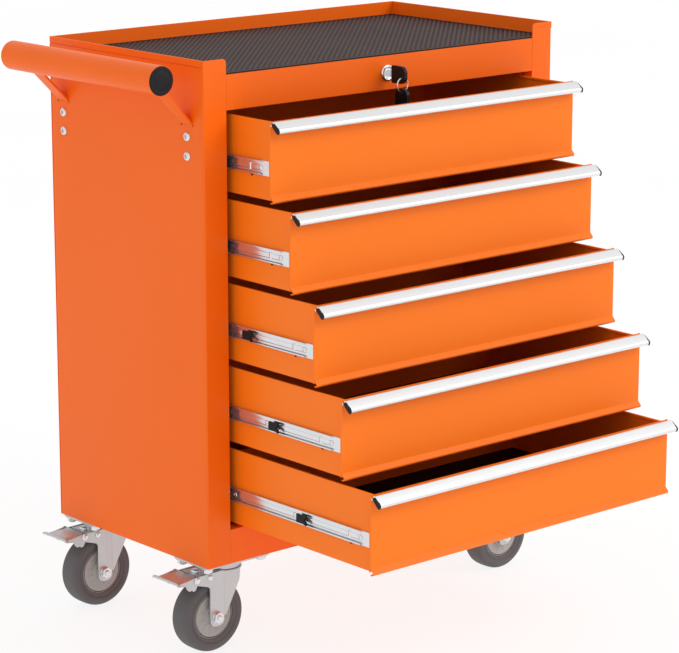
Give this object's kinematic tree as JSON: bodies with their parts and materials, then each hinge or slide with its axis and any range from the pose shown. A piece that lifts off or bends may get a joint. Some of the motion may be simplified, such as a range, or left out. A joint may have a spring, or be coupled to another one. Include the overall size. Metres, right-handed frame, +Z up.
{
  "type": "rolling tool cart",
  "caption": "Sheet-metal tool cart with full-width drawers on telescopic runners, a matted tray top, a side push handle, a barrel lock and casters.",
  "frame": {"origin": "on the floor, under the middle of the whole cart's box with its drawers open as stored", "axes": "+Z up, drawers open towards -Y, the push handle is on the -X side"},
  "size_m": [0.692, 0.618, 0.787],
  "materials": {
    "cabinet_paint": "semi-gloss orange powder coat",
    "drawer_paint": "semi-gloss orange powder coat",
    "grip_aluminium": "satin anodised",
    "runner_zinc": "bright zinc plate",
    "caster_zinc": "satin zinc plate",
    "bolt_zinc": "bright zinc plate",
    "tyre_grey": "matt grey thermoplastic rubber",
    "hub_grey": "moulded grey polypropylene",
    "mat_rubber": "embossed non-slip mat",
    "lock_chrome": "polished",
    "key_plastic": "moulded black",
    "cap_plastic": "moulded black"
  },
  "bodies": {
    "cabinet": {"left_side_panel": "cabinet_paint", "right_side_panel": "cabinet_paint", "back_panel": "cabinet_paint", "bottom_pan": "cabinet_paint", "lock_rail": "cabinet_paint", "top_tray": "cabinet_paint", "slide_uprights": "cabinet_paint", "handle_tube": "cabinet_paint", "handle_brackets": "cabinet_paint", "top_mat": "mat_rubber", "outer_runners": "runner_zinc", "handle_end_caps": "cap_plastic", "handle_screws": "bolt_zinc", "lock_housing": "lock_chrome", "swivel_plates": "caster_zinc", "caster_bolts": "bolt_zinc", "rigid_forks": "caster_zinc"},
    "lock_core": {"lock_plug": "lock_chrome", "key": "key_plastic"},
    "key_ring": {"key_ring": "bolt_zinc"},
    "lock_bar": {"lock_bar": "runner_zinc"},
    "drawer_1_mid": {"drawer_1_mid_runners": "runner_zinc"},
    "drawer_1": {"drawer_1_inner_runners": "runner_zinc", "drawer_1_box": "drawer_paint", "drawer_1_front": "drawer_paint", "drawer_1_pull": "grip_aluminium"},
    "drawer_2_mid": {"drawer_2_mid_runners": "runner_zinc"},
    "drawer_2": {"drawer_2_inner_runners": "runner_zinc", "drawer_2_box": "drawer_paint", "drawer_2_front": "drawer_paint", "drawer_2_pull": "grip_aluminium"},
    "drawer_3_mid": {"drawer_3_mid_runners": "runner_zinc"},
    "drawer_3": {"drawer_3_inner_runners": "runner_zinc", "drawer_3_box": "drawer_paint", "drawer_3_front": "drawer_paint", "drawer_3_pull": "grip_aluminium"},
    "drawer_4_mid": {"drawer_4_mid_runners": "runner_zinc"},
    "drawer_4": {"drawer_4_inner_runners": "runner_zinc", "drawer_4_box": "drawer_paint", "drawer_4_front": "drawer_paint", "drawer_4_pull": "grip_aluminium"},
    "drawer_5_mid": {"drawer_5_mid_runners": "runner_zinc"},
    "drawer_5": {"drawer_5_inner_runners": "runner_zinc", "drawer_5_box": "drawer_paint", "drawer_5_front": "drawer_paint", "drawer_5_pull": "grip_aluminium"},
    "front_left_swivel": {"front_left_fork": "caster_zinc", "front_left_axle": "bolt_zinc"},
    "front_left_brake": {"front_left_brake_pedal": "caster_zinc"},
    "front_left_wheel": {"front_left_tyre": "tyre_grey", "front_left_hub": "hub_grey"},
    "front_right_wheel": {"front_right_tyre": "tyre_grey", "front_right_hub": "hub_grey"},
    "rear_left_swivel": {"rear_left_fork": "caster_zinc", "rear_left_axle": "bolt_zinc"},
    "rear_left_brake": {"rear_left_brake_pedal": "caster_zinc"},
    "rear_left_wheel": {"rear_left_tyre": "tyre_grey", "rear_left_hub": "hub_grey"},
    "rear_right_wheel": {"rear_right_tyre": "tyre_grey", "rear_right_hub": "hub_grey"}
  },
  "joints": [
    {"name": "lock_turn", "type": "hinge", "parent": "cabinet", "child": "lock_core", "pos_m": [0.0385, -0.021, 0.7442], "axis": [0, 1, 0], "range_deg": [0, 90]},
    {"name": "key_ring_swing", "type": "hinge", "parent": "lock_core", "child": "key_ring", "pos_m": [0.0385, -0.052, 0.7408], "axis": [-1, 0, 0], "range_deg": [0, 35]},
    {"name": "lock_bar_drop", "type": "slide", "parent": "cabinet", "child": "lock_bar", "axis": [0, 0, -1], "range_m": [0, 0.01]},
    {"name": "drawer_1_mid_slide", "type": "slide", "parent": "cabinet", "child": "drawer_1_mid", "axis": [0, -1, 0], "range_m": [0, 0.152]},
    {"name": "drawer_1_slide", "type": "slide", "parent": "drawer_1_mid", "child": "drawer_1", "axis": [0, -1, 0], "range_m": [-0.082, 0.038]},
    {"name": "drawer_2_mid_slide", "type": "slide", "parent": "cabinet", "child": "drawer_2_mid", "axis": [0, -1, 0], "range_m": [0, 0.152]},
    {"name": "drawer_2_slide", "type": "slide", "parent": "drawer_2_mid", "child": "drawer_2", "axis": [0, -1, 0], "range_m": [-0.12, 0]},
    {"name": "drawer_3_mid_slide", "type": "slide", "parent": "cabinet", "child": "drawer_3_mid", "axis": [0, -1, 0], "range_m": [-0.047, 0.105]},
    {"name": "drawer_3_slide", "type": "slide", "parent": "drawer_3_mid", "child": "drawer_3", "axis": [0, -1, 0], "range_m": [-0.118, 0.002]},
    {"name": "drawer_4_mid_slide", "type": "slide", "parent": "cabinet", "child": "drawer_4_mid", "axis": [0, -1, 0], "range_m": [-0.098, 0.054]},
    {"name": "drawer_4_slide", "type": "slide", "parent": "drawer_4_mid", "child": "drawer_4", "axis": [0, -1, 0], "range_m": [-0.118, 0.002]},
    {"name": "drawer_5_mid_slide", "type": "slide", "parent": "cabinet", "child": "drawer_5_mid", "axis": [0, -1, 0], "range_m": [-0.152, 0]},
    {"name": "drawer_5_slide", "type": "slide", "parent": "drawer_5_mid", "child": "drawer_5", "axis": [0, -1, 0], "range_m": [-0.118, 0.002]},
    {"name": "front_left_caster_swivel", "type": "hinge", "parent": "cabinet", "child": "front_left_swivel", "pos_m": [-0.215, 0.019, 0.112], "axis": [0, 0, 1], "continuous": true},
    {"name": "front_left_brake_press", "type": "hinge", "parent": "front_left_swivel", "child": "front_left_brake", "pos_m": [-0.275, 0.019, 0.1075], "axis": [0, -1, 0], "range_deg": [0, 18]},
    {"name": "front_left_wheel_spin", "type": "hinge", "parent": "front_left_swivel", "child": "front_left_wheel", "pos_m": [-0.2405, 0.019, 0.0495], "axis": [0, 1, 0], "continuous": true},
    {"name": "front_right_wheel_spin", "type": "hinge", "parent": "cabinet", "child": "front_right_wheel", "pos_m": [0.289, 0.019, 0.0495], "axis": [0, 1, 0], "continuous": true},
    {"name": "rear_left_caster_swivel", "type": "hinge", "parent": "cabinet", "child": "rear_left_swivel", "pos_m": [-0.215, 0.266, 0.112], "axis": [0, 0, 1], "continuous": true},
    {"name": "rear_left_brake_press", "type": "hinge", "parent": "rear_left_swivel", "child": "rear_left_brake", "pos_m": [-0.275, 0.266, 0.1075], "axis": [0, -1, 0], "range_deg": [0, 18]},
    {"name": "rear_left_wheel_spin", "type": "hinge", "parent": "rear_left_swivel", "child": "rear_left_wheel", "pos_m": [-0.2405, 0.266, 0.0495], "axis": [0, 1, 0], "continuous": true},
    {"name": "rear_right_wheel_spin", "type": "hinge", "parent": "cabinet", "child": "rear_right_wheel", "pos_m": [0.289, 0.266, 0.0495], "axis": [0, 1, 0], "continuous": true}
  ],
  "couplings": [
    {"joint": "lock_turn", "follows": "lock_bar_drop", "rad_per_m": 157.07}
  ]
}
